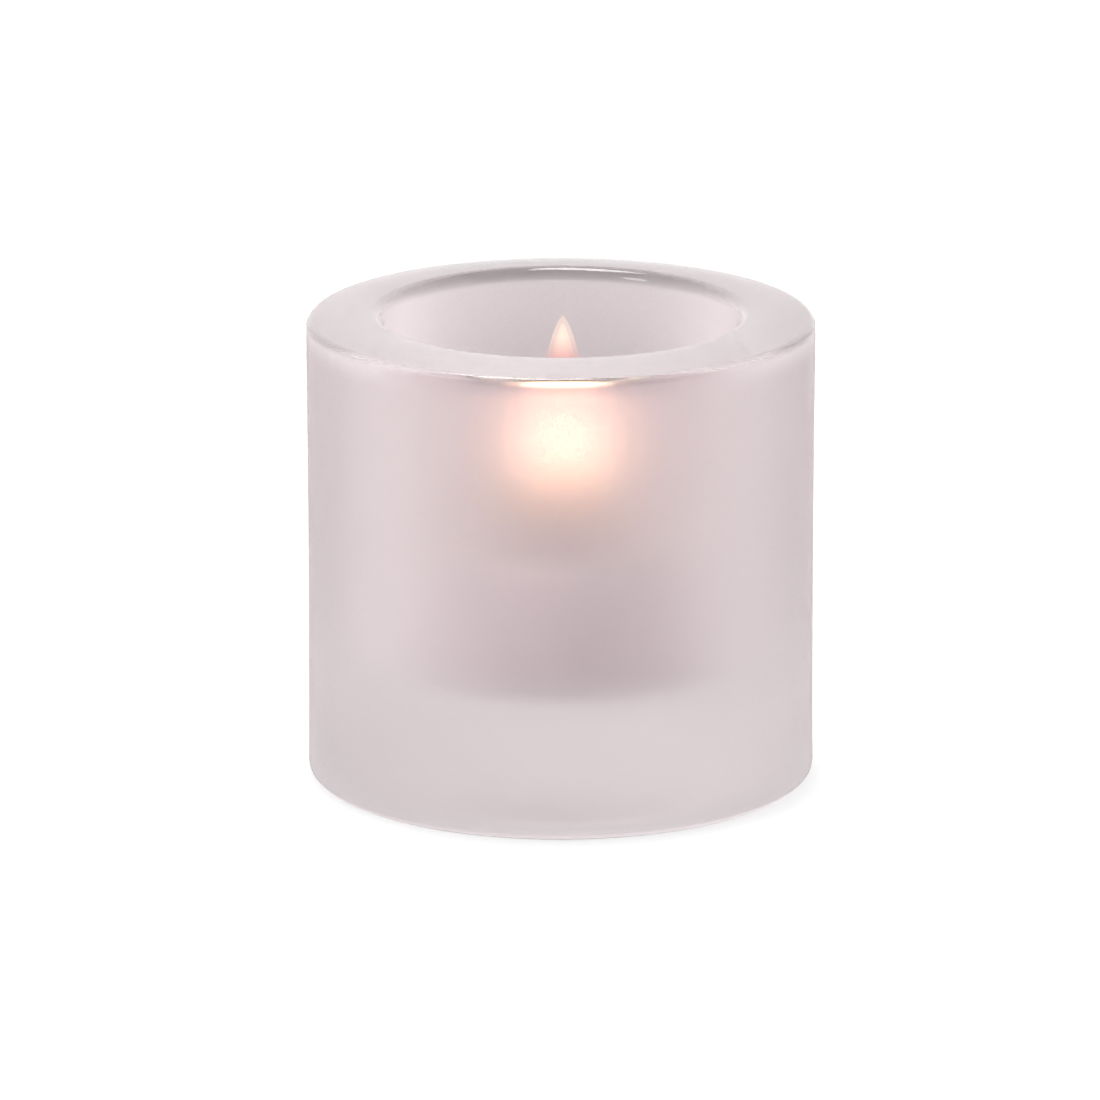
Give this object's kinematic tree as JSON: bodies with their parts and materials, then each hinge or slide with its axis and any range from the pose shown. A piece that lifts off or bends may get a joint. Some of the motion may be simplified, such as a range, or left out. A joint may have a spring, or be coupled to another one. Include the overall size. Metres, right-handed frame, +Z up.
{
  "type": "tealight holder",
  "caption": "Thick-walled frosted glass cylinder with a polished rim and a deep well, holding a lit tealight candle in a thin metal cup.",
  "frame": {"origin": "middle of the underside, on the plane that the holder stands on", "axes": "+Z up along the axis of the glass; the wick's tip curls over towards +X"},
  "size_m": [0.064, 0.064, 0.06],
  "materials": {
    "holder_glass": "outside satin frosted, rim and well polished",
    "cup_aluminium": "thin rolled sheet, drawn, bright",
    "candle_wax": "white paraffin wax, soft sheen",
    "sustainer_steel": "tinned sheet",
    "wick_cotton": "braided cotton, burnt black at the tip"
  },
  "bodies": {
    "holder": {"glass_holder": "holder_glass"},
    "tealight": {"tealight_cup": "cup_aluminium"},
    "candle": {"wax": "candle_wax", "wick_sustainer": "sustainer_steel", "wick": "wick_cotton"}
  },
  "joints": [
    {"name": "tealight_lift", "type": "slide", "parent": "holder", "child": "tealight", "axis": [0, 0, 1], "range_m": [0, 0.05]},
    {"name": "candle_lift", "type": "slide", "parent": "tealight", "child": "candle", "axis": [0, 0, 1], "range_m": [0, 0.02]}
  ]
}
